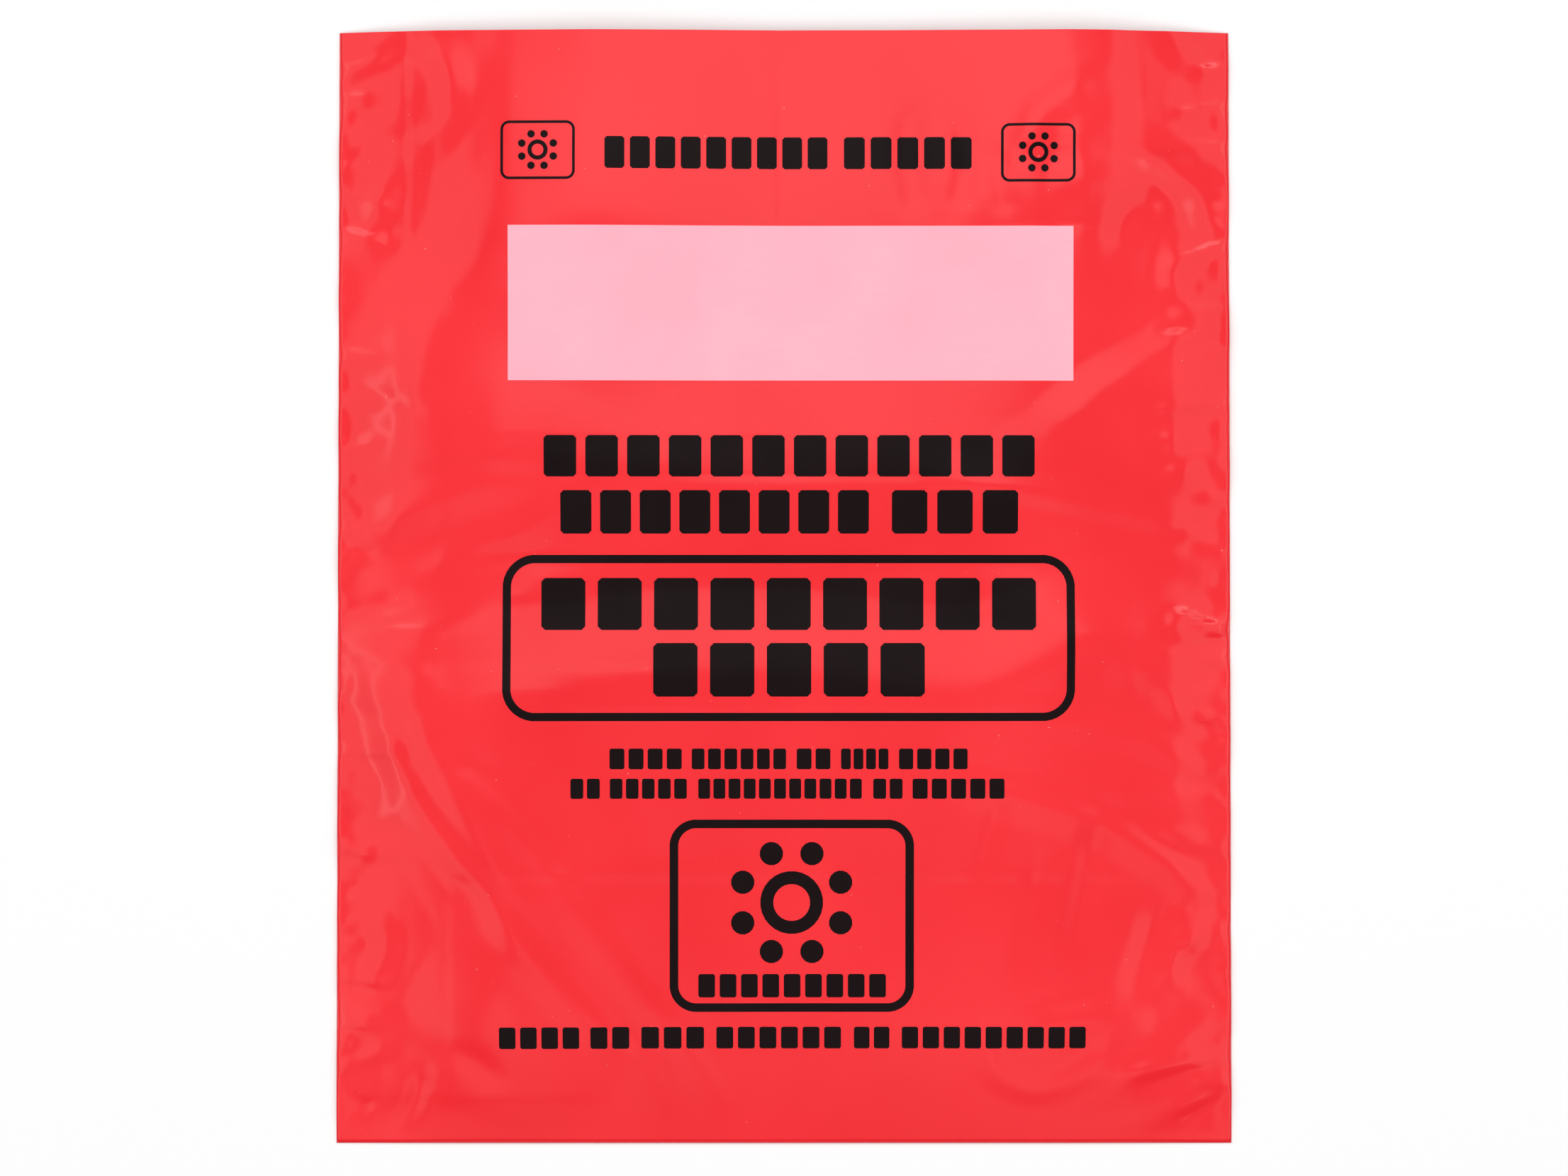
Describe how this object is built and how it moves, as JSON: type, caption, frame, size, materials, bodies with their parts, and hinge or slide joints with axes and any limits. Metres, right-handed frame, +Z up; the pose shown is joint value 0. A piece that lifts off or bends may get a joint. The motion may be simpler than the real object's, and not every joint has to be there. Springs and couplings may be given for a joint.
{
  "type": "biohazard waste bag",
  "caption": "Flat side-welded disposal bag of clear red plastic film with a folded base and an open mouth, lying empty on its back.",
  "frame": {"origin": "under the middle of the lying bag, on the surface that it rests on", "axes": "+X across the bag from the left side weld to the right one, +Y from the folded base to the open mouth, +Z up out of the printed front"},
  "size_m": [0.3048, 0.378, 0.0113],
  "materials": {
    "red_film": "glossy clear red polypropylene film with black print and one pale writing panel on its front",
    "black_ink": "glossy black print on the film",
    "pale_ink": "matt white print over the red film, which shows through it as pale pink"
  },
  "bodies": {
    "root": {"bag_film": "red_film"}
  },
  "joints": []
}
